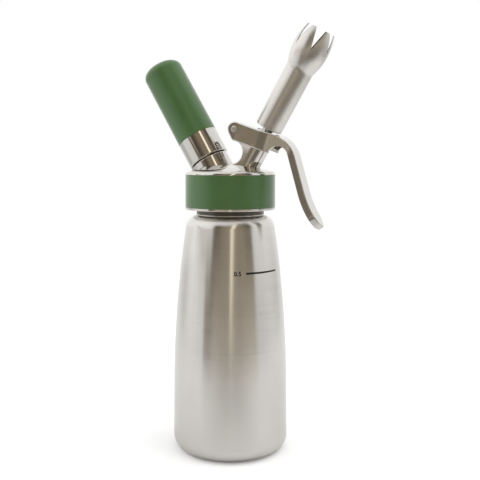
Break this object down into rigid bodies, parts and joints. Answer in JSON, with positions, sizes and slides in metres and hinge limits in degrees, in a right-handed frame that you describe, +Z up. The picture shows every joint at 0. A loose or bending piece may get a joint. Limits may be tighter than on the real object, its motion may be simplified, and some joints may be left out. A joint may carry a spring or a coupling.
{
  "type": "cream whipper",
  "caption": "Half-litre steel cream whipper: screw-on head, lever over a leaning valve tower, tulip decorating tip and screw-on holder for a gas charger.",
  "frame": {"origin": "on the bottle's axis, in the plane that the bottle stands on", "axes": "+Z up along the bottle's axis; +X towards the valve tower, the lever and the tip, -X towards the charger holder; Y = 0 is the plane of symmetry"},
  "size_m": [0.1415, 0.078, 0.2876],
  "materials": {
    "brushed_shell": "fine vertical brushing, satin",
    "polished_head": "polished steel",
    "polished_lever": "polished steel, slightly worn on the flat sides",
    "polished_tip": "polished steel",
    "polished_sleeve": "polished steel",
    "turned_steel": "turned steel",
    "grip_silicone": "matte green silicone",
    "seal_white": "smooth food-grade seal",
    "seal_dark": "smooth black ring",
    "spring_steel": "bright wire",
    "charger_steel": "bare zinc-plated steel",
    "brass_valve": "turned brass"
  },
  "bodies": {
    "bottle": {"bottle": "brushed_shell"},
    "head_gasket": {"head_gasket": "seal_white"},
    "head": {"head_body": "polished_head", "head_grip_band": "grip_silicone", "lever_pin": "turned_steel", "pin_carrier": "brass_valve", "piercing_pin": "turned_steel", "charger_gasket": "seal_dark", "check_valve_sleeve": "seal_dark", "valve_spring": "spring_steel"},
    "lever": {"lever": "polished_lever"},
    "valve": {"valve_stem": "turned_steel", "valve_seal": "seal_white", "stem_o_ring": "seal_dark", "spring_nut": "turned_steel"},
    "tip_seal": {"tip_o_ring": "seal_dark"},
    "tip": {"decorator_tip": "polished_tip"},
    "charger": {"charger": "charger_steel", "charger_cap": "charger_steel"},
    "holder": {"charger_sleeve": "polished_sleeve", "charger_grip": "grip_silicone"}
  },
  "joints": [
    {"name": "head_lift", "type": "slide", "parent": "bottle", "child": "head_gasket", "axis": [0, 0, 1], "range_m": [0, 0.006]},
    {"name": "head_turn", "type": "hinge", "parent": "head_gasket", "child": "head", "pos_m": [0, 0, 0.17], "axis": [0, 0, 1], "range_deg": [0, 540]},
    {"name": "lever_press", "type": "hinge", "parent": "head", "child": "lever", "pos_m": [0.00628, 0, 0.21829], "axis": [0, 1, 0], "range_deg": [0, 10.5]},
    {"name": "valve_travel", "type": "slide", "parent": "head", "child": "valve", "axis": [-0.5075, 0, -0.8616], "range_m": [0, 0.00325], "stiffness_N_per_m": 500, "springref_m": -0.009, "deforming": ["valve_spring"]},
    {"name": "tip_lift", "type": "slide", "parent": "valve", "child": "tip_seal", "axis": [0.5075, 0, 0.8616], "range_m": [0, 0.006]},
    {"name": "tip_turn", "type": "hinge", "parent": "tip_seal", "child": "tip", "pos_m": [0.02893, 0, 0.21911], "axis": [0.5075, 0, 0.8616], "range_deg": [0, 1440]},
    {"name": "charger_draw", "type": "slide", "parent": "head", "child": "charger", "axis": [-0.515, 0, 0.8572], "range_m": [0, 0.006]},
    {"name": "holder_turn", "type": "hinge", "parent": "charger", "child": "holder", "pos_m": [-0.01633, 0, 0.19717], "axis": [-0.515, 0, 0.8572], "range_deg": [0, 1080]}
  ],
  "couplings": [
    {"joint": "head_lift", "follows": "head_turn", "m_per_rad": 0.0006366},
    {"joint": "valve_travel", "follows": "lever_press", "m_per_rad": 0.0176},
    {"joint": "tip_lift", "follows": "tip_turn", "m_per_rad": 0.0002387},
    {"joint": "charger_draw", "follows": "holder_turn", "m_per_rad": 0.0003183}
  ]
}
